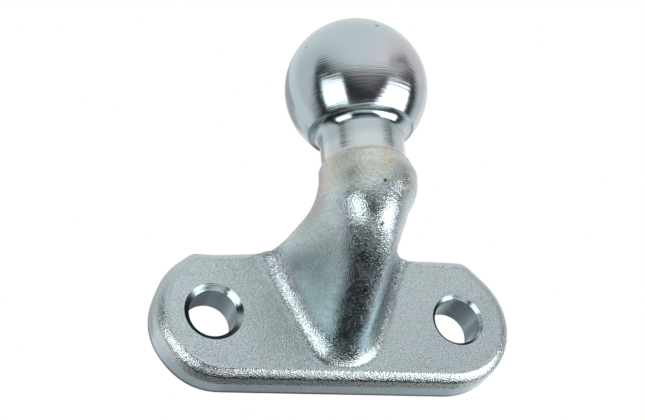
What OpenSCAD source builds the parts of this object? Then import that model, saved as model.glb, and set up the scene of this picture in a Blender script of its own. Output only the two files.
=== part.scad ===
// Tow ball on a forged swan neck, with a flange for two bolts.
// One steel forging: the ball, the neck and the bolt holes are machined, the rest is as forged.
// Frame: +X along the flange, +Z up along the ball's axis, +Y into the towing bracket.
// Origin: on the mounting face, midway between the two bolt holes.

/* [Ball] */
// Diameter of the ball
ball_d = 50; // [46:0.5:54]
// Height of the ball's centre above the line of the bolt holes
ball_height = 68.5; // [64:0.5:80]
// Distance of the ball's centre in front of the mounting face
ball_reach = 55.5; // [52:0.5:70]

/* [Neck] */
// Diameter of the turned neck
neck_d = 29; // [24:0.5:30]
// Distance from the ball's centre down to the lip under the ball
lip_drop = 16.5; // [15:0.1:17.5]
// Height of the small bevel on the lip
lip_bevel = 0.5; // [0.3:0.1:1]
// Distance from the ball's centre down to the shoulder where turning stops
shoulder_drop = 31.5; // [29:0.5:34]
// Diameter of the forging at the shoulder
collar_d = 33; // [32:0.5:38]
// Radius of the forging's rim at the shoulder
rim_round = 0.8; // [0.5:0.1:2.5]

/* [Flange] */
// Width of the flange
flange_w = 131; // [124:1:150]
// Height of the flange
flange_h = 48; // [44:1:54]
// Thickness of the flange
flange_t = 15.5; // [12:0.5:20]
// Distance from the front face back to the parting line, where the trimmed band starts
parting_depth = 6.3; // [4:0.1:9]
// Draft angle of the side, from the parting line to the front edge
draft = 8; // [3:1:10]
// How far the blunt front edge draws in across the front face
edge_inset = 3.6; // [2:0.1:5]
// How deep the blunt front edge runs behind the front face
edge_depth = 2.6; // [2:0.1:3.5]
// Bluntness of the front edge: 1 gives an oval, 2 a straight chamfer
bluntness = 1.6; // [1:0.1:2]
// Radius along the rear edge of the flange
rear_round = 0.8; // [0.3:0.1:1.5]
// Radius of the two top corners, beside their slanted cuts
corner_round = 6; // [5.5:0.5:9]

/* [Bolt holes] */
// Distance between the two bolt holes
hole_pitch = 90; // [84:1:96]
// Diameter of the bolt holes
hole_d = 17; // [12:0.5:19]
// Chamfer of the bolt holes at the flange's front face
front_chamfer = 1.6; // [0.5:0.1:2.2]

/* [Gooseneck] */
// Half the width of the foot where it leaves the flange
foot_half_w = 22.6; // [20:0.1:27]
// Height of the keel above the flange's bottom edge, at the foot
foot_keel = 6.6; // [6:0.1:10]
// Depth of the foot's top line below the flange's top edge
foot_top = 0.2; // [0.1:0.1:1.5]
// Radius between the foot and the flange's front face
foot_fillet = 9; // [4:0.5:10]

/* [Hidden] */

ball_r = ball_d / 2;
neck_r = neck_d / 2;
collar_r = collar_d / 2;
hole_r = hole_d / 2;
end_r = flange_h / 2;
end_x = flange_w / 2 - end_r;
shoulder_z = ball_height - shoulder_drop;

// How far one shape reaches into the next, so that none only touches
overlap = 6;
sunk = 0.4;

// The gooseneck's run forward from the flange's face, and its climbs along the keel and along the top
run = ball_reach - flange_t;
keel_z = -end_r + foot_keel;
top_z = end_r - foot_top;
climb = shoulder_z - keel_z;
top_climb = shoulder_z - top_z;
waist = foot_half_w - collar_r;

// Handle of a cubic curve that draws a quarter of a circle
round_handle = 0.5523;

// Control sections of the gooseneck, from the flange's face to the shoulder. Each row holds the keel's
// y and z, the top's y and z, the half width, the share of the depth at which the section is widest,
// the handle at the keel, the distance of the side's handle from the widest point, the share of the
// width that is flat on top, and the share of the width that the side's handle reaches.
CONTROL = [
    [-flange_t, keel_z, -flange_t, top_z, foot_half_w, 0.95, 0.36, 0.80, 0.80, 0.38],
    [-flange_t - 0.49 * run, keel_z + 0.20 * climb, -flange_t - 0.20 * run,
        top_z + 0.10 * top_climb, collar_r + 0.94 * waist, 0.97, 0.42, 0.74, 0.76, 0.52],
    [-flange_t - 1.32 * run, keel_z + 0.505 * climb, -flange_t - 0.42 * run,
        top_z + 0.575 * top_climb, collar_r - 0.36 * waist, 1.05, 0.58, 0.64, 0.66, 0.84],
    [-flange_t - 1.415 * run, keel_z + 0.445 * climb, -flange_t - 0.585 * run,
        top_z + 0.605 * top_climb, collar_r + 0.22 * waist, 0.65, 0.66, 0.55, 0.60, 1],
    [-ball_reach - collar_r, shoulder_z, -ball_reach + collar_r, shoulder_z,
        collar_r, 0.5, round_handle, round_handle, round_handle, 1]
];
// Share of the fillet that is left out at the keel, where the corner is already an open one
keel_ease = 0.76;

// Numbers of steps: rings along the gooseneck, points up a side and across half the top, arcs
rings = 30;
side_steps = 9;
top_steps = 6;
arc_steps = 5;
round_fn = 96;

// Point at share u of the cubic curve with the four control points p
function cubic(p, u) =
    pow(1 - u, 3) * p[0] + 3 * u * pow(1 - u, 2) * p[1] + 3 * u * u * (1 - u) * p[2] + pow(u, 3) * p[3];

// Values at share t of the quartic curve with the five control rows
function section_at(t) =
    pow(1 - t, 4) * CONTROL[0] + 4 * t * pow(1 - t, 3) * CONTROL[1]
    + 6 * pow(t, 2) * pow(1 - t, 2) * CONTROL[2] + 4 * pow(t, 3) * (1 - t) * CONTROL[3]
    + pow(t, 4) * CONTROL[4];

// Right half of a section of depth d, as [x, distance from the keel]: up the side, then over the top
function half_outline(s, d) =
    let (
        w = s[4],
        wide = s[5] * d,
        side = [[0, 0], [s[6] * w, 0], [s[9] * w, wide * (1 - s[7])], [w, wide]],
        top = [[w, wide], [w, wide + round_handle * (d - wide)], [s[8] * w, d], [0, d]]
    )
    concat(
        [for (i = [0:side_steps]) cubic(side, i / side_steps)],
        [for (i = [1:top_steps]) cubic(top, i / top_steps)]
    );

// Whole section, mirrored to the left
function outline(half) =
    concat(half, [for (i = [len(half) - 2:-1:1]) [-half[i][0], half[i][1]]]);

// Outward normal of a closed outline at point i
function normal(pts, i) =
    let (
        n = len(pts),
        along = pts[(i + 1) % n] - pts[(i + n - 1) % n]
    )
    [along[1], -along[0]] / norm(along);

// Sideways step of a quarter-round of radius r, at a share of its height from 0 at its foot to 1
function quarter(r, share) =
    let (left = r * (1 - min(max(share, 0), 1))) r - sqrt(r * r - left * left);

// Ring of the gooseneck at share t: the section in its own slanted plane, flared sideways and down by
// the fillet near the flange's face, and drawn in by the rim near the shoulder
function ring(t) =
    let (
        s = section_at(t),
        keel = [s[0], s[1]],
        depth = norm([s[2], s[3]] - keel),
        up = ([s[2], s[3]] - keel) / depth,
        pts = outline(half_outline(s, depth))
    )
    [for (i = [0:len(pts) - 1])
        let (
            n = normal(pts, i),
            place = keel + pts[i][1] * up,
            open = (1 - max(n[1], 0)) * (1 - keel_ease * max(-n[1], 0)),
            flare = open * quarter(foot_fillet, (-flange_t - place[0] + sunk) / foot_fillet),
            rim = quarter(rim_round, (shoulder_z + sunk - place[1]) / rim_round),
            p = pts[i] + flare * [n[0], min(n[1], 0)] - rim * n,
            q = keel + p[1] * up
        )
        [p[0], q[0], q[1]]];

// Ring buried in the flange, a little below the flange's top edge
function buried_ring() =
    [for (p = ring(0)) [p[0], p[1] + overlap, min(p[2], top_z - sunk)]];

// Arc of the flange's outline, as [x, z, normal x, normal z]
function arc(cx, cz, r, from, to, steps) =
    [for (i = [0:steps])
        let (a = from + (to - from) * i / steps)
        [cx + r * cos(a), cz + r * sin(a), cos(a), sin(a)]];

// Right half of the flange's outline, upwards: the round end, a slanted cut at 45 degrees that leaves
// it at a tangent, and the top corner
function flange_half() =
    let (
        cut = end_x + end_r * sqrt(2),
        corner_z = end_r - corner_round,
        corner_x = cut - corner_z - corner_round * sqrt(2)
    )
    concat(
        arc(end_x, 0, end_r, -90, 45, 3 * arc_steps),
        arc(corner_x, corner_z, corner_round, 45, 90, arc_steps)
    );

// Whole outline of the flange at depth y, set in by the given inset
function flange_ring(y, inset) =
    let (
        half = flange_half(),
        left = [for (i = [len(half) - 1:-1:0]) [-half[i][0], half[i][1], -half[i][2], half[i][3]]]
    )
    [for (p = concat(half, left)) [p[0] - inset * p[2], y, p[1] - inset * p[3]]];

// Closed skin over a stack of rings that all have as many points
module skin(stack) {
    n = len(stack[0]);
    last = (len(stack) - 1) * n;
    polyhedron(
        points = [for (r = stack) each r],
        faces = concat(
            [[for (i = [0:n - 1]) i]],
            [for (k = [0:len(stack) - 2], i = [0:n - 1])
                [k * n + i, (k + 1) * n + i, (k + 1) * n + (i + 1) % n]],
            [for (k = [0:len(stack) - 2], i = [0:n - 1])
                [k * n + i, (k + 1) * n + (i + 1) % n, k * n + (i + 1) % n]],
            [[for (i = [n - 1:-1:0]) last + i]]
        ),
        convexity = 4
    );
}

// Flange plate: a flat trimmed band round its rear part, a drafted side in front of it and a blunt edge
module flange() {
    drafted = (parting_depth - edge_depth) * tan(draft);
    skin(concat(
        [flange_ring(0, rear_round), flange_ring(-rear_round, 0), flange_ring(-flange_t + parting_depth, 0)],
        [for (i = [0:arc_steps])
            let (
                a = 90 * i / arc_steps,
                deep = edge_depth * (1 - pow(sin(a), bluntness)),
                inset = drafted + (edge_inset - drafted) * (1 - pow(cos(a), bluntness))
            )
            flange_ring(-flange_t + deep, inset)]
    ));
}

// Gooseneck from inside the flange to the shoulder, with its rings closest at both ends
module gooseneck() {
    skin(concat(
        [buried_ring()],
        [for (k = [0:rings]) ring((1 - cos(180 * k / rings)) / 2)]
    ));
}

// Outline of the metal that is turned away under the ball: the bevel of the lip, the hollow and the neck
function turned_away() =
    let (
        lip_r = sqrt(ball_r * ball_r - lip_drop * lip_drop),
        hollow_z = -lip_drop - lip_bevel,
        hollow_r = lip_r - lip_bevel - neck_r,
        low_z = -shoulder_drop - 2 * overlap
    )
    concat(
        [[ball_r + overlap, low_z], [neck_r, low_z]],
        [for (i = [arc_steps * 2:-1:0])
            let (a = 90 * i / (arc_steps * 2))
            [neck_r + hollow_r * (1 - sin(a)), hollow_z - hollow_r * (1 - cos(a))]],
        [[lip_r + lip_bevel, -lip_drop + lip_bevel], [ball_r + overlap, -lip_drop + lip_bevel]]
    );

// Ball and neck, turned from one blank
module ball_and_neck() {
    translate([0, -ball_reach, ball_height])
        difference() {
            union() {
                sphere(r = ball_r, $fn = round_fn);
                translate([0, 0, -shoulder_drop - overlap])
                    cylinder(
                        h = shoulder_drop + overlap - lip_drop + sunk,
                        r = sqrt(ball_r * ball_r - lip_drop * lip_drop),
                        $fn = round_fn
                    );
            }
            rotate_extrude($fn = round_fn) polygon(turned_away());
        }
}

// Bolt hole through the flange, with a chamfer at the front
module bolt_hole() {
    rotate([90, 0, 0]) {
        translate([0, 0, -overlap]) cylinder(h = flange_t + 2 * overlap, r = hole_r, $fn = round_fn);
        translate([0, 0, flange_t - front_chamfer])
            cylinder(h = 2 * front_chamfer, r1 = hole_r, r2 = hole_r + 2 * front_chamfer, $fn = round_fn);
    }
}

// The whole forging, drilled
module tow_ball() {
    color("#a9b3b5")
        difference() {
            union() {
                flange();
                gooseneck();
                ball_and_neck();
            }
            for (side = [-1, 1])
                translate([side * hole_pitch / 2, 0, 0]) bolt_hole();
        }
}

tow_ball();
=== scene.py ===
# %% [markdown]
# # A flange tow ball on a swan neck
# The whole object is one drop forging of steel. The ball, the neck under it and the two bolt holes are
# machined, the edge of the flange is trimmed in a press, and the rest keeps the skin of the die and of
# the shot-blasting. Zinc plating covers it all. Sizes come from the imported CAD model, and this script
# gives the same forging its soft, slightly uneven skin and its finishes.

import bpy
import numpy as np
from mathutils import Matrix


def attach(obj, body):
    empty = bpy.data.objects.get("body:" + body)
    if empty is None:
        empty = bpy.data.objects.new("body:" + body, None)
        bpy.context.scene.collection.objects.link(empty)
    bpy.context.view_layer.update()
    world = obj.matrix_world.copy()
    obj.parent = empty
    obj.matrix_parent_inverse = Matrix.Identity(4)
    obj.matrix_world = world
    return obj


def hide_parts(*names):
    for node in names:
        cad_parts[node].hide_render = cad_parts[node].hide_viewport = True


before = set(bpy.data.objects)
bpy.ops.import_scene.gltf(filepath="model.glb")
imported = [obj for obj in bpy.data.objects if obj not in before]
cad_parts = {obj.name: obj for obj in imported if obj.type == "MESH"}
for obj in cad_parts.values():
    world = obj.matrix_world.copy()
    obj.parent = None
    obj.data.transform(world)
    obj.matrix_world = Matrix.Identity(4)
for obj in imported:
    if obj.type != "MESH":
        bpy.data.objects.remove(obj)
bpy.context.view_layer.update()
MM = 0.001
print("packed nodes:", sorted(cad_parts))

# %% [markdown]
# ## The camera
# The photographer laid the flange on a table and looked down at the ball from its keel side. In the
# part's own frame, where Z runs up along the ball's axis, that is a view from below and to the left,
# with the picture turned by five degrees. A camera needs a place and three directions at right angles,
# and those directions are the columns of its rotation matrix.

# %% Camera
from mathutils import Matrix, Vector


def look(place, forward, up):
    """Camera matrix: its X is forward crossed with up, its Y is up, and its Z points backwards."""
    back = -Vector(forward).normalized()
    right = Vector(up).cross(back).normalized()
    turn = Matrix((right, back.cross(right), back)).transposed()
    return Matrix.Translation(place) @ turn.to_4x4()


camera = bpy.data.objects.new("camera", bpy.data.cameras.new("camera"))
bpy.context.scene.collection.objects.link(camera)
camera.data.sensor_width = 36.0
camera.data.lens = 76.2
camera.data.clip_start = 0.01
camera.matrix_world = look(
    (-0.14581, -0.43713, -0.18207), (0.2871, 0.8462, 0.4488), (-0.0572, -0.4526, 0.8899)
)
bpy.context.scene.camera = camera
print("camera at", [round(value, 3) for value in camera.location], "with a lens of", camera.data.lens, "mm")

# %% [markdown]
# ## Helpers for materials
# A material in Blender is a small network of nodes. One helper adds a node, sets its settings and joins
# its inputs, so that each finish below reads as a short list. Colours are written as sRGB hex values,
# the way a picture shows them, and turned into the linear light that the renderer counts in.

# %% Colour and nodes
def linear(code):
    """sRGB hex to linear: a value up to 0.04045 is divided by 12.92, and a higher one is moved by 0.055,
    scaled and raised to the power 2.4."""
    srgb = np.array([int(code[i:i + 2], 16) for i in (1, 3, 5)]) / 255
    low, high = srgb / 12.92, ((srgb + 0.055) / 1.055) ** 2.4
    return (*np.where(srgb <= 0.04045, low, high).tolist(), 1.0)


def add(tree, kind, settings=None, **inputs):
    """Adds one node. Settings are its properties. An input is a value, or an output of another node."""
    node = tree.nodes.new(kind)
    for name, value in (settings or {}).items():
        setattr(node, name, value)
    for name, value in inputs.items():
        socket = node.inputs[int(name[1:])] if name[1:].isdigit() else node.inputs[name.replace("_", " ")]
        if isinstance(value, bpy.types.NodeSocket):
            tree.links.new(value, socket)
        else:
            socket.default_value = value
    return node


def blank_tree(owner):
    """Empties the node tree of a material or a world."""
    owner.use_nodes = True
    owner.node_tree.nodes.clear()
    return owner.node_tree


def per(size):
    """Scale of a noise texture for bumps of a size in millimetres, on Object coordinates in metres."""
    return 1 / (size * MM)


print("plain zinc grey in linear light:", np.round(linear("#b9c3c7"), 3))

# %% [markdown]
# ## A helper for surfaces
# Every surface here is a grid: rings of points, where each ring has as many points as the next one.
# Numpy works out all the points at once, and the faces are four-sided cells between two neighbours on
# one ring and the same two on the next. A point in the middle of the first and of the last ring shuts
# the skin, so the finished piece is closed.

# %% Skin over a stack of rings
def skin(name, rings, materials, zones):
    """Closed mesh over rings of shape (rings, points, 3). Cell (k, i) joins points i and i + 1 of ring k
    to those of ring k + 1, and zones gives the number of the material of each band of cells."""
    count, around = rings.shape[:2]
    poles = rings[[0, -1]].mean(axis=1)
    start = np.arange(count - 1)[:, None] * around + np.arange(around)[None, :]
    side = start - np.arange(around) + (np.arange(around) + 1) % around
    cells = np.stack([start, side, side + around, start + around], axis=-1).reshape(-1, 4)
    edge = np.arange(around)
    after = (edge + 1) % around
    last = (count - 1) * around
    first_fan = np.stack([np.full(around, count * around), after, edge], axis=-1)
    last_fan = np.stack([np.full(around, count * around + 1), last + edge, last + after], axis=-1)
    mesh = bpy.data.meshes.new(name)
    mesh.from_pydata(
        np.concatenate([rings.reshape(-1, 3), poles]) * MM, [],
        cells.tolist() + first_fan.tolist() + last_fan.tolist()
    )
    material_of = np.concatenate([np.repeat(zones, around), np.full(around, zones[0]), np.full(around, zones[-1])])
    mesh.polygons.foreach_set("material_index", material_of.astype(np.int32))
    mesh.polygons.foreach_set("use_smooth", np.ones(len(material_of), dtype=bool))
    for material in materials:
        mesh.materials.append(material)
    mesh.validate()
    piece = bpy.data.objects.new(name, mesh)
    bpy.context.scene.collection.objects.link(piece)
    print(f"{name}: {count} rings of {around} points, {len(mesh.polygons)} faces")
    return piece


# %% [markdown]
# ## Smooth unevenness
# A forging is never as even as its drawing: the die wears, scale is hammered in, and the shot leaves
# dimples. Small marks are left to the material. Marks of a few millimetres catch the light at the
# edges, so they are real geometry, made from values at the corners of a lattice and blended between.

# %% Random heights
def heights(points, size, seed):
    """Smooth random heights from -1 to 1. Each point lies in a cube of a lattice with the given spacing,
    and the random values at the cube's eight corners are blended by 3s squared minus 2s cubed."""
    table = np.random.default_rng(seed).uniform(-1, 1, (64, 64, 64))
    place = points / size + 32
    cell = np.floor(place).astype(int)
    share = place - cell
    share = share * share * (3 - 2 * share)
    total = np.zeros(points.shape[:-1])
    for corner in np.ndindex(2, 2, 2):
        weight = np.prod(np.where(corner, share, 1 - share), axis=-1)
        index = (cell + corner) % 64
        total += weight * table[index[..., 0], index[..., 1], index[..., 2]]
    return total


def ease(value, low, high):
    """Level below low, level above high, and a smooth rise from 0 to 1 between."""
    share = np.clip((value - low) / (high - low), 0, 1)
    return share * share * (3 - 2 * share)


# %% [markdown]
# ## Sizes
# These are the same values, in millimetres, that the CAD source uses. Its file isn't read here, so they
# are written out again. The height of the ball's centre, its reach in front of the mounting face and
# the flange are the ones that other parts have to fit.

# %% Sizes of the forging
BALL_R, BALL_HEIGHT, BALL_REACH = 24.98, 68.5, 55.5
NECK_R, LIP_DROP, LIP_BEVEL, SHOULDER_DROP = 14.5, 16.5, 0.5, 31.5
COLLAR_R, RIM_ROUND = 16.5, 0.8
END_R, END_X, FLANGE_T, CORNER_R = 24.0, 41.5, 15.5, 6.0
REAR_ROUND, PARTING_DEPTH, DRAFT, EDGE_INSET, EDGE_DEPTH, BLUNTNESS = 0.8, 6.3, 8.0, 3.4, 2.6, 1.6
HOLE_X, HOLE_R, CHAMFERS = 45.0, 8.5, (2.0, 1.3)
FOOT_HALF_W, FOOT_KEEL, FOOT_TOP, FOOT_FILLET, KEEL_EASE = 22.6, 6.6, 0.2, 9.0, 0.76
shoulder_z = BALL_HEIGHT - SHOULDER_DROP
keel_z, top_z = -END_R + FOOT_KEEL, END_R - FOOT_TOP
print("shoulder at", shoulder_z, "mm, keel at", keel_z, "mm, top of the foot at", top_z, "mm")

# %% [markdown]
# ## The gooseneck's sections
# The swan neck is a profile carried along a path, but the profile changes on the way: a wide shield at
# the flange, a slimmer one at the bend and a circle under the ball. Ten numbers describe one section.
# Five control rows of such numbers are blended along the neck as a Bezier curve, so that every section
# in between is known and the surface has no seams.

# %% Sections along the neck
SIDE_STEPS, TOP_STEPS = 80, 40
ROUND = 0.5523
run = BALL_REACH - FLANGE_T
climb, top_climb, waist = shoulder_z - keel_z, shoulder_z - top_z, FOOT_HALF_W - COLLAR_R
CONTROL = np.array([
    [-FLANGE_T, keel_z, -FLANGE_T, top_z, FOOT_HALF_W, 0.95, 0.36, 0.80, 0.80, 0.38],
    [-FLANGE_T - 0.49 * run, keel_z + 0.20 * climb, -FLANGE_T - 0.20 * run,
     top_z + 0.10 * top_climb, COLLAR_R + 0.94 * waist, 0.97, 0.42, 0.74, 0.76, 0.52],
    [-FLANGE_T - 1.32 * run, keel_z + 0.505 * climb, -FLANGE_T - 0.42 * run,
     top_z + 0.575 * top_climb, COLLAR_R - 0.36 * waist, 1.05, 0.58, 0.64, 0.66, 0.84],
    [-FLANGE_T - 1.415 * run, keel_z + 0.445 * climb, -FLANGE_T - 0.585 * run,
     top_z + 0.605 * top_climb, COLLAR_R + 0.22 * waist, 0.65, 0.66, 0.55, 0.60, 1.0],
    [-BALL_REACH - COLLAR_R, shoulder_z, -BALL_REACH + COLLAR_R, shoulder_z, COLLAR_R, 0.5, ROUND, ROUND, ROUND, 1.0],
])


def bernstein(t, degree):
    """Weights of the control rows of a Bezier curve at each share t: the number of ways to pick k rows,
    times t to the power k, times 1 - t to the power of the rest."""
    ways = {3: [1, 3, 3, 1], 4: [1, 4, 6, 4, 1]}[degree]
    k = np.arange(degree + 1)
    t = np.asarray(t)[..., None]
    return ways * t ** k * (1 - t) ** (degree - k)


def section_outlines(t):
    """Outlines of the sections at shares t, as half-widths x and distances v from the keel. One cubic
    curve climbs from the keel to the widest point, another goes over the top to the middle line, and
    the left half mirrors the right one."""
    s = bernstein(t, 4) @ CONTROL
    depth = np.hypot(s[:, 2] - s[:, 0], s[:, 3] - s[:, 1])
    w, wide, zero = s[:, 4], s[:, 5] * depth, 0 * depth
    side = bernstein(np.linspace(0, 1, SIDE_STEPS + 1), 3)
    top = bernstein(np.linspace(0, 1, TOP_STEPS + 1)[1:], 3)
    x = np.concatenate([np.stack([zero, s[:, 6] * w, s[:, 9] * w, w], 1) @ side.T,
                        np.stack([w, w, s[:, 8] * w, zero], 1) @ top.T], 1)
    v = np.concatenate([np.stack([zero, zero, wide * (1 - s[:, 7]), wide], 1) @ side.T,
                        np.stack([wide, wide + ROUND * (depth - wide), depth, depth], 1) @ top.T], 1)
    return s, depth, np.concatenate([x, -x[:, -2:0:-1]], 1), np.concatenate([v, v[:, -2:0:-1]], 1)


print("section at the bend:", np.round(bernstein(0.5, 4) @ CONTROL, 2))

# %% [markdown]
# A forging has no sharp inner corner, because the hot metal has to flow round it. So each section near
# the flange is pushed outwards along its own normal by the height of a quarter circle, which makes the
# fillet, and each one near the shoulder is drawn in the same way, which makes the rim.

# %% Rings of the gooseneck
def quarter(radius, share):
    """Sideways step of a quarter circle: the radius at share 0, and nothing from share 1 on."""
    left = radius * (1 - np.clip(share, 0, 1))
    return radius - np.sqrt(radius ** 2 - left ** 2)


def neck_rings(t):
    """Rings of the swan neck at shares t: each outline point moves along its normal by fillet minus rim,
    and then lies at the keel point plus v times the direction from keel to top."""
    s, depth, x, v = section_outlines(t)
    along = np.stack([np.roll(a, -1, 1) - np.roll(a, 1, 1) for a in (x, v)], -1)
    normal = np.stack([along[..., 1], -along[..., 0]], -1)
    normal /= np.linalg.norm(normal, axis=-1, keepdims=True)
    up = (s[:, 2:4] - s[:, 0:2]) / depth[:, None]
    y = s[:, None, 0] + v * up[:, None, 0]
    z = s[:, None, 1] + v * up[:, None, 1]
    lean = normal[..., 1]
    openness = (1 - np.maximum(lean, 0)) * (1 - KEEL_EASE * np.maximum(-lean, 0))
    fillet = openness * quarter(FOOT_FILLET, (-FLANGE_T - y) / FOOT_FILLET)
    rim = quarter(RIM_ROUND, (shoulder_z - z) / RIM_ROUND)
    bow = KEEL_BOW * ease(z, -18, -8) * (1 - ease(z, 2, 14)) * (1 - np.clip(v / depth[:, None], 0, 1)) ** 3
    x = x + (fillet - rim) * normal[..., 0] + bow
    v = v + fillet * np.minimum(lean, 0) - rim * lean
    return np.stack([x, s[:, None, 0] + v * up[:, None, 0], s[:, None, 1] + v * up[:, None, 1]], -1)


KEEL_BOW = 1.2
FILLET_STEPS, NECK_STEPS, RIM_STEPS = 18, 84, 16
fillet_t = 0.16 * (np.arange(FILLET_STEPS) / FILLET_STEPS) ** 2
neck_t = np.linspace(0.16, 0.88, NECK_STEPS)
rim_t = 1 - 0.12 * (1 - np.arange(1, RIM_STEPS + 1) / RIM_STEPS) ** 2
gooseneck = neck_rings(np.concatenate([fillet_t, neck_t, rim_t]))
heel = ease(gooseneck[..., 2], 2, 14) * (1 - ease(gooseneck[..., 2], 20, 27))
bend = ease(gooseneck[..., 2], 20, 28) * (1 - ease(gooseneck[..., 2], 32, 37))
gooseneck[..., 0] += 1.2 * bend - 0.6 * heel
taper = 0.05 * ease(gooseneck[..., 2], 31, 37)
gooseneck[..., 0] *= 1 - taper
gooseneck[..., 1] -= taper * (gooseneck[..., 1] + BALL_REACH)
print("gooseneck from", np.round(gooseneck.min((0, 1)), 1), "to", np.round(gooseneck.max((0, 1)), 1))

# %% [markdown]
# ## The flange
# The plate's outline is a straight bottom, a round end, a slanted cut and a corner on each side. It is
# stored as points with their outward normals and read by its length, so that any number of points can
# be spread along it. Moving a point against its normal sets the outline in, which rounds the edges.

# %% Outline of the flange
def corner_arc(x, z, radius, start, end):
    """Arc as x, z and the outward normal: the centre plus the radius times cosine and sine."""
    a = np.radians(np.linspace(start, end, 200))
    return np.stack([x + radius * np.cos(a), z + radius * np.sin(a), np.cos(a), np.sin(a)], -1)


cut_reach = END_X + END_R * np.sqrt(2)
corner_z = END_R - CORNER_R
right_half = np.concatenate([
    [[0, -END_R, 0, -1]],
    corner_arc(END_X, 0, END_R, -90, 45),
    corner_arc(cut_reach - corner_z - CORNER_R * np.sqrt(2), corner_z, CORNER_R, 45, 90),
    [[0, END_R, 0, 1]],
])
length = np.concatenate([[0], np.cumsum(np.linalg.norm(np.diff(right_half[:, :2], axis=0), axis=1))])
TOP_SHARE = 33.0
spread = np.interp(
    np.arange(SIDE_STEPS + TOP_STEPS + 1), [0, SIDE_STEPS, SIDE_STEPS + TOP_STEPS],
    [0, length[-1] - TOP_SHARE, length[-1]]
)
half = np.stack([np.interp(spread, length, column) for column in right_half.T], -1)
outline = np.concatenate([half, half[-2:0:-1] * [-1, 1, -1, 1]])
print("half the flange's outline is", round(length[-1], 1), "mm long")

# %% [markdown]
# Across the flange the rings run from the middle of the mounting face to its edge, over the trimmed
# band and the rounded front edge, and over the front face to the foot of the gooseneck. On top, the
# gooseneck flows straight out of the flange's edge, so the rounding fades away there.

# %% Rings of the flange
REAR_STEPS, BAND_STEPS, DRAFT_STEPS, FRONT_STEPS, FACE_STEPS = 12, 8, 6, 16, 30


def flange_ring(inset, depth):
    """Outline moved in along its normals by inset, at the given depth in front of the mounting face."""
    inset, depth = np.broadcast_arrays(inset, depth)
    flat = outline[None, :, :2] - (inset + off_line)[..., None] * outline[None, :, 2:]
    return np.stack([flat[..., 0], -depth, flat[..., 1]], -1)


def column(values):
    """Turns a row of values into a column, one value for each ring."""
    return np.asarray(values, dtype=float)[:, None] * np.ones((1, len(outline)))


PRESS_ERRORS = [(-45, 24, 10, 1.0), (-58, 16, 7, -0.7), (-60, -14, 9, 0.5), (40, 24, 14, -0.5), (59, -15, 9, -0.4)]
on_top = (outline[:, 3] > 0.99) * (1 - ease(np.abs(outline[:, 0]), 23, 34))
forged_edge = 1 - on_top
off_line = sum(
    amount * np.exp(-((outline[:, 0] - x) ** 2 + (outline[:, 1] - z) ** 2) / reach ** 2)
    for x, z, reach, amount in PRESS_ERRORS
)
wave = 0.6 * heights(np.stack([outline[:, 0], 0 * outline[:, 0], outline[:, 1]], -1), 17, 5)
parting_depth = PARTING_DEPTH + wave
drafted = (parting_depth - EDGE_DEPTH) * np.tan(np.radians(DRAFT))
rear_a = np.radians(np.linspace(0, 90, 5))
mounting = flange_ring(column(np.full(REAR_STEPS, REAR_ROUND)), column(np.zeros(REAR_STEPS)))
mounting = mounting * np.linspace(0.04, 0.97, REAR_STEPS)[:, None, None]
rear = flange_ring(column(REAR_ROUND * (1 - np.sin(rear_a))), column(REAR_ROUND * (1 - np.cos(rear_a))))
band_share = column(np.linspace(0, 1, BAND_STEPS + 1)[1:-1])
band = flange_ring(0 * band_share, REAR_ROUND + band_share * (FLANGE_T - parting_depth - REAR_ROUND))
draft_share = column(np.linspace(0, 1, DRAFT_STEPS + 1)[:-1])
draft = flange_ring(
    forged_edge * drafted * draft_share, FLANGE_T - parting_depth + draft_share * (parting_depth - EDGE_DEPTH)
)
a = np.radians(np.linspace(0, 90, FRONT_STEPS + 1))
front = flange_ring(
    forged_edge * (drafted + (EDGE_INSET - drafted) * (1 - column(np.cos(a) ** BLUNTNESS))),
    FLANGE_T - EDGE_DEPTH * (1 - column(np.sin(a) ** BLUNTNESS))
)
face_share = np.linspace(0, 1, FACE_STEPS + 1)[1:-1, None, None]
face = front[-1] * (1 - face_share) + gooseneck[0] * face_share
print("rings on the mounting face, band, front edge and face:", [len(r) for r in (mounting, band, front, face)])

# %% [markdown]
# ## The ball and its neck
# They are turned in a lathe, so they are circles of changing radius round one axis. The profile climbs
# the straight neck, opens in a hollow to the sharp lip under the ball and follows the ball to its top.
# The circles start where the points of the gooseneck's last ring lie, so the two join without a seam.

# %% Rings of the turned part
def turned_rings(profile):
    """Circles of radius r at height z round the ball's axis, in the directions of the last ring's points."""
    spokes = gooseneck[-1, :, :2] - [0, -BALL_REACH]
    spokes /= np.linalg.norm(spokes, axis=1, keepdims=True)
    flat = profile[:, None, 0, None] * spokes + [0, -BALL_REACH]
    return np.concatenate([flat, np.broadcast_to(profile[:, None, 1, None], (*flat.shape[:2], 1))], -1)


lip_r = np.sqrt(BALL_R ** 2 - LIP_DROP ** 2)
hollow_r = lip_r - LIP_BEVEL - NECK_R
hollow_z = BALL_HEIGHT - LIP_DROP - LIP_BEVEL
a = np.radians(np.linspace(90, 0, 14))
hollow = np.stack([NECK_R + hollow_r * (1 - np.sin(a)), hollow_z - hollow_r * (1 - np.cos(a))], -1)
neck = np.stack([np.full(8, NECK_R), np.linspace(shoulder_z, hollow[0, 1], 10)[1:-1]], -1)
latitude = np.linspace(-np.arcsin(LIP_DROP / BALL_R), np.radians(89), 72)
ball = np.stack([BALL_R * np.cos(latitude), BALL_HEIGHT + BALL_R * np.sin(latitude)], -1)
turned = turned_rings(np.concatenate([neck, hollow, ball]))
print("lip under the ball:", round(float(lip_r), 2), "mm from the axis")

# %% [markdown]
# ## Finishes
# Zinc plating is a thin, slightly bluish metal coat. What it shows is decided by the steel below. On
# turned steel it is bright, with fine rings from the tool. On steel that was cut through by a trimming
# press it is smoother and streaked. On the shot-blasted skin it is grainy and sparkles.

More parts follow.
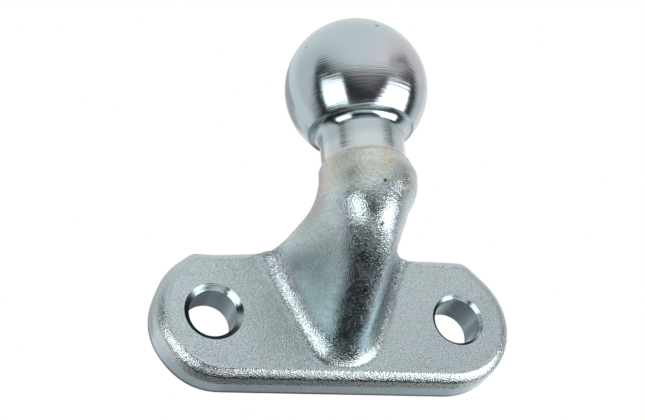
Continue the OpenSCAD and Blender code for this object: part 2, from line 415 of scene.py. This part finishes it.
# %% Zinc on shot-blasted forging skin
def plated(name, base, roughness, bump, **more):
    """A metal surface: a finished node tree around one Principled shader."""
    material = bpy.data.materials.new(name)
    tree = blank_tree(material)
    place = add(tree, "ShaderNodeTexCoord").outputs["Object"]
    shader = add(tree, "ShaderNodeBsdfPrincipled", Metallic=1.0, Base_Color=base(tree, place),
                 Roughness=roughness(tree, place), Normal=bump(tree, place))
    for name, value in more.items():
        if callable(value):
            tree.links.new(value(tree, place), shader.inputs[name.replace("_", " ")])
        else:
            shader.inputs[name.replace("_", " ")].default_value = value
    add(tree, "ShaderNodeOutputMaterial", Surface=shader.outputs[0])
    return material


TINT = {"data_type": "RGBA"}


def marks(tree, place, spacing, size, share):
    """Mask of scattered small marks: 1 near the centres of some cells of a Voronoi pattern, else 0."""
    warp = add(tree, "ShaderNodeTexNoise", Vector=place, Scale=per(1.2)).outputs[1]
    warp = add(tree, "ShaderNodeVectorMath", {"operation": "SCALE"}, _0=warp, Scale=0.8 * MM).outputs[0]
    place = add(tree, "ShaderNodeVectorMath", {"operation": "ADD"}, _0=place, _1=warp).outputs[0]
    cells = add(tree, "ShaderNodeTexVoronoi", Vector=place, Scale=per(spacing)).outputs
    near = add(tree, "ShaderNodeMapRange", Value=cells["Distance"], From_Min=0.4 * size / spacing,
               From_Max=size / spacing, To_Min=1.0, To_Max=0.0).outputs[0]
    chance = add(tree, "ShaderNodeSeparateColor", Color=cells["Color"]).outputs[0]
    chosen = add(tree, "ShaderNodeMath", {"operation": "LESS_THAN"}, _0=chance, _1=share).outputs[0]
    return add(tree, "ShaderNodeMath", {"operation": "MULTIPLY"}, _0=near, _1=chosen).outputs[0]


def skin_base(tree, place):
    """Zinc drifts from greenish to bluish grey: bluer at the foot, paler with tan at the collar, pitted."""
    drift = add(tree, "ShaderNodeTexNoise", Vector=place, Scale=per(14), Detail=1.0).outputs[0]
    drift = add(tree, "ShaderNodeMapRange", Value=drift, From_Min=0.35, From_Max=0.65).outputs[0]
    tint = add(tree, "ShaderNodeMix", TINT, Factor=drift, _6=linear("#bac8c5"), _7=linear("#b9c6cc")).outputs[2]
    clouds = add(tree, "ShaderNodeTexNoise", Vector=place, Scale=per(11), Detail=1.0).outputs[0]
    clouds = add(tree, "ShaderNodeMapRange", Value=clouds, From_Min=0.5, From_Max=0.75).outputs[0]
    tint = add(tree, "ShaderNodeMix", TINT, Factor=clouds, _6=tint, _7=linear("#bec5cd")).outputs[2]
    depth, height = add(tree, "ShaderNodeSeparateXYZ", Vector=place).outputs[1:3]
    low = add(tree, "ShaderNodeMapRange", Value=height, From_Min=8 * MM, From_Max=-8 * MM, To_Max=0.75).outputs[0]
    proud = add(tree, "ShaderNodeMapRange", Value=depth, From_Min=-17 * MM, From_Max=-21 * MM).outputs[0]
    foot = add(tree, "ShaderNodeMath", {"operation": "MULTIPLY"}, _0=low, _1=proud).outputs[0]
    tint = add(tree, "ShaderNodeMix", TINT, Factor=foot, _6=tint, _7=linear("#a8c0c9")).outputs[2]
    collar = add(tree, "ShaderNodeMapRange", Value=height, From_Min=22 * MM, From_Max=34 * MM, To_Max=0.8).outputs[0]
    tint = add(tree, "ShaderNodeMix", TINT, Factor=collar, _6=tint, _7=linear("#ccd1cd")).outputs[2]
    spots = add(tree, "ShaderNodeTexNoise", Vector=place, Scale=per(4), Detail=3.0).outputs[0]
    spots = add(tree, "ShaderNodeMapRange", Value=spots, From_Min=0.38, From_Max=0.66).outputs[0]
    stain = add(tree, "ShaderNodeMath", {"operation": "MULTIPLY"}, _0=collar, _1=spots).outputs[0]
    tint = add(tree, "ShaderNodeMix", TINT, Factor=stain, _6=tint, _7=linear("#c9bda9")).outputs[2]
    grit = add(tree, "ShaderNodeTexNoise", Vector=place, Scale=per(0.7), Detail=1.0).outputs[0]
    grit = add(tree, "ShaderNodeMapRange", Value=grit, From_Min=0.35, From_Max=0.65, To_Min=0.89, To_Max=1.11).outputs[0]
    tint = add(tree, "ShaderNodeMix", {"data_type": "RGBA", "blend_type": "MULTIPLY"},
               Factor=1.0, _6=tint, _7=grit).outputs[2]
    pits = marks(tree, place, 7, 0.9, 0.25)
    return add(tree, "ShaderNodeMix", TINT, Factor=pits, _6=tint, _7=linear("#4b5551")).outputs[2]


def skin_roughness(tree, place):
    """Scatter of the blasted skin: 0.2 to 0.3, and duller by 0.14 at the scaled collar."""
    wear = add(tree, "ShaderNodeTexNoise", Vector=place, Scale=per(2.5), Detail=3.0).outputs[0]
    wear = add(tree, "ShaderNodeMapRange", Value=wear, From_Min=0.3, From_Max=0.7, To_Min=0.2, To_Max=0.3).outputs[0]
    height = add(tree, "ShaderNodeSeparateXYZ", Vector=place).outputs[2]
    scaled = add(tree, "ShaderNodeMapRange", Value=height, From_Min=25 * MM, From_Max=33 * MM, To_Max=0.14).outputs[0]
    return add(tree, "ShaderNodeMath", {"operation": "ADD"}, _0=wear, _1=scaled).outputs[0]


def skin_bump(tree, place):
    """The grain that the shot leaves, deepest underneath, and a soft orange peel."""
    facing = add(tree, "ShaderNodeTexCoord").outputs["Normal"]
    upward = add(tree, "ShaderNodeSeparateXYZ", Vector=facing).outputs[2]
    depth = add(tree, "ShaderNodeMapRange", Value=upward, From_Min=-0.6, From_Max=-0.85, To_Min=0.72)
    grain = add(tree, "ShaderNodeTexNoise", Vector=place, Scale=per(0.43), Detail=0.0).outputs[0]
    grain = add(tree, "ShaderNodeBump", Strength=depth.outputs[0], Distance=0.18 * MM, Height=grain).outputs[0]
    peel = add(tree, "ShaderNodeTexNoise", Vector=place, Scale=per(2.6), Detail=2.0).outputs[0]
    return add(tree, "ShaderNodeBump", Strength=0.12, Distance=0.5 * MM, Height=peel, Normal=grain).outputs[0]


def peened_base(tree, place):
    """Fresh, pale zinc on the battered lower edge; further up it is the skin's own colour."""
    height = add(tree, "ShaderNodeSeparateXYZ", Vector=place).outputs[2]
    low = add(tree, "ShaderNodeMapRange", Value=height, From_Min=-4 * MM, From_Max=-14 * MM).outputs[0]
    return add(tree, "ShaderNodeMix", TINT, Factor=low, _6=linear("#b2bec1"), _7=linear("#c9d2d6")).outputs[2]


def peened_roughness(tree, place):
    """The battered front edge scatters more than the faces do, between 0.2 and 0.32."""
    noise = add(tree, "ShaderNodeTexNoise", Vector=place, Scale=per(2.0)).outputs[0]
    return add(tree, "ShaderNodeMapRange", Value=noise, From_Min=0.3, From_Max=0.7,
               To_Min=0.2, To_Max=0.32).outputs[0]


def peened_bump(tree, place):
    """Deeper grain where the shot met the edge from two sides."""
    grain = add(tree, "ShaderNodeTexNoise", Vector=place, Scale=per(0.4), Detail=0.0).outputs[0]
    grain = add(tree, "ShaderNodeBump", Strength=1.0, Distance=0.14 * MM, Height=grain).outputs[0]
    dents = add(tree, "ShaderNodeTexNoise", Vector=place, Scale=per(2.2), Detail=2.0).outputs[0]
    return add(tree, "ShaderNodeBump", Strength=0.2, Distance=0.5 * MM, Height=dents, Normal=grain).outputs[0]


shot_blasted = plated("zinc_on_shot_blasted_forging", skin_base, skin_roughness, skin_bump)
peened = plated("zinc_on_peened_front_edge", peened_base, peened_roughness, peened_bump)

# %% Zinc on trimmed and turned steel
def trim_base(tree, place):
    """Bluish streaks, and painted shade: a dark line along the rear edge."""
    streaks = add(tree, "ShaderNodeTexNoise", Vector=place, Scale=per(6), Detail=2.0).outputs[0]
    tint = add(tree, "ShaderNodeMix", TINT, Factor=streaks, _6=linear("#9db4bd"), _7=linear("#bac9d2")).outputs[2]
    behind = add(tree, "ShaderNodeSeparateXYZ", Vector=place).outputs[1]
    # Painted shade: the dark colour near the mounting face stands in for the shadow line along the rear edge.
    painted_rear_shade = add(tree, "ShaderNodeMapRange", Value=behind, From_Min=-2.9 * MM, From_Max=-1.6 * MM, To_Max=0.95)
    return add(tree, "ShaderNodeMix", TINT, Factor=painted_rear_shade.outputs[0], _6=tint, _7=linear("#4c575d")).outputs[2]


def trim_roughness(tree, place):
    wear = add(tree, "ShaderNodeTexNoise", Vector=place, Scale=per(1.5)).outputs[0]
    return add(tree, "ShaderNodeMapRange", Value=wear, To_Min=0.2, To_Max=0.32).outputs[0]


def trim_bump(tree, place):
    tears = add(tree, "ShaderNodeTexNoise", Vector=place, Scale=per(2.2), Detail=3.0).outputs[0]
    return add(tree, "ShaderNodeBump", Strength=0.2, Distance=0.2 * MM, Height=tears).outputs[0]


def turned_base(tree, place):
    """Bright zinc that drifts from blue to pink, the way thin clear films do, with a few brown specks."""
    drift = add(tree, "ShaderNodeTexNoise", Vector=place, Scale=per(24), Detail=2.0).outputs[0]
    drift = add(tree, "ShaderNodeMapRange", Value=drift, From_Min=0.48, From_Max=0.66).outputs[0]
    tint = add(tree, "ShaderNodeMix", TINT, Factor=drift, _6=linear("#b2c1c6"), _7=linear("#c4c2c9")).outputs[2]
    height = add(tree, "ShaderNodeSeparateXYZ", Vector=place).outputs[2]
    neck = add(tree, "ShaderNodeMapRange", Value=height, From_Min=45 * MM, From_Max=42 * MM, To_Max=0.8).outputs[0]
    tint = add(tree, "ShaderNodeMix", TINT, Factor=neck, _6=tint, _7=linear("#cdd3d4")).outputs[2]
    specks = marks(tree, place, 11, 0.8, 0.35)
    return add(tree, "ShaderNodeMix", TINT, Factor=specks, _6=tint, _7=linear("#6e5f50")).outputs[2]


def turned_roughness(tree, place):
    wear = add(tree, "ShaderNodeTexNoise", Vector=place, Scale=per(4), Detail=3.0).outputs[0]
    return add(tree, "ShaderNodeMapRange", Value=wear, To_Min=0.1, To_Max=0.26).outputs[0]


def turned_bump(tree, place):
    """Rings of the lathe tool: noise that changes fast along Z and hardly round the axis."""
    squeezed = add(tree, "ShaderNodeMapping", Vector=place, Scale=(0.05, 0.05, 1.0)).outputs[0]
    rings = add(tree, "ShaderNodeTexNoise", Vector=squeezed, Scale=per(0.5), Detail=2.0).outputs[0]
    return add(tree, "ShaderNodeBump", Strength=1.0, Distance=0.07 * MM, Height=rings).outputs[0]


def round_the_axis(tree, place):
    """Direction of the tool marks: the line from the ball's axis crossed with Z."""
    spoke = add(tree, "ShaderNodeVectorMath", {"operation": "SUBTRACT"}, _0=place, _1=(0, -BALL_REACH * MM, 0))
    return add(tree, "ShaderNodeVectorMath", {"operation": "CROSS_PRODUCT"},
               _0=spoke.outputs[0], _1=(0, 0, 1)).outputs[0]


def bore_painted_shade_base(tree, place):
    # Painted shade: the zinc in the holes is coloured far darker than outside, standing in for the shade inside the
    # bore.
    drift = add(tree, "ShaderNodeTexNoise", Vector=place, Scale=per(6), Detail=3.0).outputs[0]
    return add(tree, "ShaderNodeMix", TINT, Factor=drift, _6=linear("#6e8992"), _7=linear("#828d98")).outputs[2]


def bore_bump(tree, place):
    """Marks of the drill: noise that changes along Y, the axis of the hole."""
    squeezed = add(tree, "ShaderNodeMapping", Vector=place, Scale=(0.1, 1.0, 0.1)).outputs[0]
    marks = add(tree, "ShaderNodeTexNoise", Vector=squeezed, Scale=per(0.8), Detail=3.0).outputs[0]
    return add(tree, "ShaderNodeBump", Strength=0.6, Distance=0.1 * MM, Height=marks).outputs[0]


trimmed = plated("zinc_on_trimmed_edge", trim_base, trim_roughness, trim_bump)
lathe_turned = plated("zinc_on_turned_steel", turned_base, turned_roughness, turned_bump,
                      Anisotropic=0.6, Anisotropic_Rotation=0.25, Tangent=round_the_axis)
def chamfer_base(tree, place):
    """Darker than turned steel, in patches."""
    patches = add(tree, "ShaderNodeTexNoise", Vector=place, Scale=per(5), Detail=2.0).outputs[0]
    return add(tree, "ShaderNodeMix", TINT, Factor=patches, _6=linear("#8c9ba2"), _7=linear("#b4bfc4")).outputs[2]


chamfer_cut = plated("zinc_on_cut_chamfers", chamfer_base, turned_roughness, bore_bump)
drilled_bore = plated("zinc_in_drilled_holes", bore_painted_shade_base, trim_roughness, bore_bump)
print("materials:", [m.name for m in (shot_blasted, trimmed, lathe_turned, drilled_bore, chamfer_cut, peened)])

# %% [markdown]
# ## The forging in one skin
# All rings are stacked from the mounting face to the top of the ball. The skin is then made uneven
# where it is as forged: each point moves along its normal by smooth random heights.

# %% Stack the rings and make the forging
SKIN, TRIM, TURNED, BORE, CHAMFER, PEENED = 0, 1, 2, 3, 4, 5
stack = [mounting, rear, band, draft, front, face, gooseneck, turned]
finish = [SKIN, TRIM, TRIM, SKIN, PEENED, SKIN, SKIN, TURNED]
rings = np.concatenate(stack)
zone = np.repeat(finish, [len(part) for part in stack])


def grid_normals(grid):
    """Outward normals of a grid: the step round the ring crossed with the step to the next ring."""
    around = np.roll(grid, -1, 1) - np.roll(grid, 1, 1)
    onward = np.gradient(grid, axis=0)
    normal = np.cross(around, onward)
    return normal / np.maximum(np.linalg.norm(normal, axis=-1, keepdims=True), 1e-9)


forged = (zone == SKIN) * ease(np.arange(len(zone)), 26, 40)
forged = forged[:, None] * ease(shoulder_z - rings[..., 2], 0, 3) * ease(-rings[..., 1], 9, 12)
uneven = 0.12 * heights(rings, 11, 11) + 0.05 * heights(rings, 5, 12) + 0.03 * heights(rings, 2.4, 13)
rings = rings + (forged * (uneven - 0.05))[..., None] * grid_normals(rings)
finishes = (shot_blasted, trimmed, lathe_turned, drilled_bore, chamfer_cut, peened)
forging = skin("forging", rings, finishes, zone[:-1])

# %% [markdown]
# ## The bolt holes
# A drill removes metal, and so does a Boolean modifier: each cutter is a closed surface of revolution
# with the bore and its chamfer, and the difference of the two meshes is taken. The wall of the hole gets the
# drilled finish, painted darker for the shade inside, and the chamfer the cut one, because the cutters carry the same
# list of materials.

# %% Drill the holes
def cutter_rings(centre_x, chamfer):
    """Circles round the hole's axis: the bore, the chamfer at 45 degrees and a wider end in the air."""
    profile = np.array([
        [HOLE_R, 4], [HOLE_R, -FLANGE_T + chamfer], [HOLE_R + chamfer, -FLANGE_T], [HOLE_R + chamfer + 3, -FLANGE_T - 3]
    ])
    turn = np.linspace(0, 2 * np.pi, 96, endpoint=False)
    x = centre_x + profile[:, :1] * np.cos(turn)
    z = profile[:, :1] * np.sin(turn)
    return np.stack([x, profile[:, 1:] + 0 * x, z], -1)


for centre_x, chamfer in zip((-HOLE_X, HOLE_X), CHAMFERS):
    cutter = skin("cutter", cutter_rings(centre_x, chamfer), forging.data.materials, [BORE, CHAMFER, CHAMFER])
    hole = forging.modifiers.new("hole", "BOOLEAN")
    hole.operation, hole.solver, hole.object = "DIFFERENCE", "EXACT", cutter
    drilled = bpy.data.meshes.new_from_object(forging.evaluated_get(bpy.context.evaluated_depsgraph_get()))
    forging.modifiers.clear()
    forging.data = drilled
    bpy.data.objects.remove(cutter)
forging.data.name = "forging"
forging.data.set_sharp_from_angle(angle=np.radians(32))
print("forging after drilling:", len(forging.data.polygons), "faces")

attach(forging, "root")
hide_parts("tow_ball")

# %% [markdown]
# ## The studio
# Metal shows what stands round it, so the light is mostly what it reflects: a white room, two softboxes
# and a dark side where the photographer stands. A part of a sphere, glowing faintly, stands for the
# dark side. The floor lies far below, because the camera looks up at the part from under it.

# %% Floor, dark side and softboxes
def sky(longitude, latitude):
    """Direction as the photographer saw it, with the flange lying on a table: latitude rises along -Y,
    and longitude turns from -Z towards +X."""
    lon, lat = np.radians(longitude), np.radians(latitude)
    return np.stack([np.cos(lat) * np.sin(lon), -np.sin(lat) + 0 * lon, -np.cos(lat) * np.cos(lon)], -1)


BALL_CENTRE = np.array([0, -BALL_REACH, BALL_HEIGHT])


cloth = bpy.data.materials.new("lit_cloth")
tree = blank_tree(cloth)
light = add(tree, "ShaderNodeAttribute", {"attribute_name": "light"}).outputs["Fac"]
shine = add(tree, "ShaderNodeEmission", Color=linear("#ffffff"), Strength=light)
add(tree, "ShaderNodeOutputMaterial", Surface=shine.outputs[0])
softbox = cloth.copy()
softbox.name = "softbox"
cloth.cycles.emission_sampling = "NONE"


def card(name, points, light, material=cloth):
    """Sheet over a grid of points round the ball, which only reflections see. Light is how brightly it
    shines at each point, where the white room has 1."""
    rows, columns = points.shape[:2]
    start = (np.arange(rows - 1)[:, None] * columns + np.arange(columns - 1)).ravel()
    cells = np.stack([start, start + 1, start + columns + 1, start + columns], -1)
    mesh = bpy.data.meshes.new(name)
    mesh.from_pydata(((BALL_CENTRE + points) * MM).reshape(-1, 3), [], cells.tolist())
    level = np.broadcast_to(light, (rows, columns)).ravel().astype(np.float32)
    mesh.attributes.new("light", "FLOAT", "POINT").data.foreach_set("value", level)
    mesh.materials.append(material)
    sheet = bpy.data.objects.new(name, mesh)
    bpy.context.scene.collection.objects.link(sheet)
    sheet.visible_camera = sheet.visible_diffuse = sheet.visible_shadow = False
    return sheet


def dome(longitudes, latitudes):
    """Grid of longitudes and latitudes, two degrees apart or less."""
    return np.meshgrid(np.linspace(*longitudes, 160), np.linspace(*latitudes, 80))


def panel(corners, distance):
    """Flat panel: its four corner directions, blended in straight lines."""
    a, b, c, d = distance * sky(*np.array(corners, dtype=float).T)
    u, v = np.meshgrid(np.linspace(0, 1, 12), np.linspace(0, 1, 12))
    u, v = u[..., None], v[..., None]
    return (1 - v) * ((1 - u) * a + u * b) + v * ((1 - u) * d + u * c)


lon, lat = dome((-160, 160), (-54, 90))
left_edge = np.interp(lat, [-50, -35, -22, -8, 4, 12, 22, 42, 70], [46, 50, 58, 70, 92, 118, 120, 104, 92])
right_edge = np.interp(lat, [-50, -35, -22, -8, 10, 22, 42, 70], [34, 36, 54, 84, 112, 110, 96, 92])
edge = np.where(lon < 0, left_edge, right_edge)
soft = np.interp(lat, [-50, -30, -20, 5, 25, 45], [12, 14, 24, 13, 13, 24])
inside = (1 - ease(np.abs(lon), edge - soft, edge + soft)) * ease(lat, -58, -51)
haze = 0.16 * (1 - ease(np.abs(lon), 125, 155)) * ease(lat, -32, -22) * (1 - ease(lat, 30, 60))
level = 0.02 + 0.3 * ease(lat, 50, 85)
card("dark_side", 740 * sky(lon, lat), (1 - haze) * (1 - inside * (1 - level)))
card("light_stand", panel([(116, 15), (114, 52), (121, 52), (125, 15)], 700), 0.15)
lon, lat = dome((-90, 90), (-90, -50))
card("table_in_front", 745 * sky(lon, lat), 1 - 0.4 * (1 - ease(np.abs(lon), 60, 85)))
lon, lat = dome((20, 150), (-80, -64))
card("shadow_under_flange", 730 * sky(lon, lat), 0.12)
lon, lat = dome((-175, -105), (-75, -48))
card("shadow_behind", 735 * sky(lon, lat), 0.55)
card("sheet_in_front", panel([(-30, 22), (20, 36), (46, 14), (-26, 13)], 690), 1.1, softbox)
card("softbox_left", panel([(-87, 18), (-74, 49), (-30, 30), (-54, 3)], 680), 2.6, softbox)
card("softbox_right", panel([(70, 53), (86, 16), (50, -4), (9, 30)], 680), 2.8, softbox)

floor = bpy.data.objects.new("floor", bpy.data.meshes.new("floor"))
floor.data.from_pydata([(-30, -30, -0.8), (30, -30, -0.8), (30, 30, -0.8), (-30, 30, -0.8)], [], [(0, 1, 2, 3)])
paper = bpy.data.materials.new("pale_paper")
tree = blank_tree(paper)
sheen = add(tree, "ShaderNodeBsdfPrincipled", Base_Color=linear("#f2f2f0"), Roughness=0.9)
add(tree, "ShaderNodeOutputMaterial", Surface=sheen.outputs[0])
floor.data.materials.append(paper)
bpy.context.scene.collection.objects.link(floor)

# %% World and lamp
world = bpy.data.worlds.new("white_room")
bpy.context.scene.world = world
tree = blank_tree(world)
path = add(tree, "ShaderNodeLightPath").outputs
seen = add(tree, "ShaderNodeMath", {"operation": "MAXIMUM"}, _0=path["Is Camera Ray"], _1=path["Is Glossy Ray"])
seen = add(tree, "ShaderNodeMath", {"operation": "MAXIMUM"}, _0=seen.outputs[0], _1=path["Is Transmission Ray"])
level = add(tree, "ShaderNodeMapRange", Value=seen.outputs[0], To_Min=0.75, To_Max=1.0)
air = add(tree, "ShaderNodeBackground", Color=linear("#ffffff"), Strength=level.outputs[0])
add(tree, "ShaderNodeOutputWorld", Surface=air.outputs[0])

lamp = bpy.data.objects.new("overhead_lamp", bpy.data.lights.new("overhead_lamp", "AREA"))
lamp.data.shape, lamp.data.size, lamp.data.energy = "DISK", 0.5, 3.0
lamp.matrix_world = look((0.2, -0.3, 0.9), (-0.2, 0.3, -0.9), (0, 1, 0.3))
lamp.visible_glossy = lamp.visible_camera = False
bpy.context.scene.collection.objects.link(lamp)
bpy.context.scene.view_settings.view_transform = "Standard"
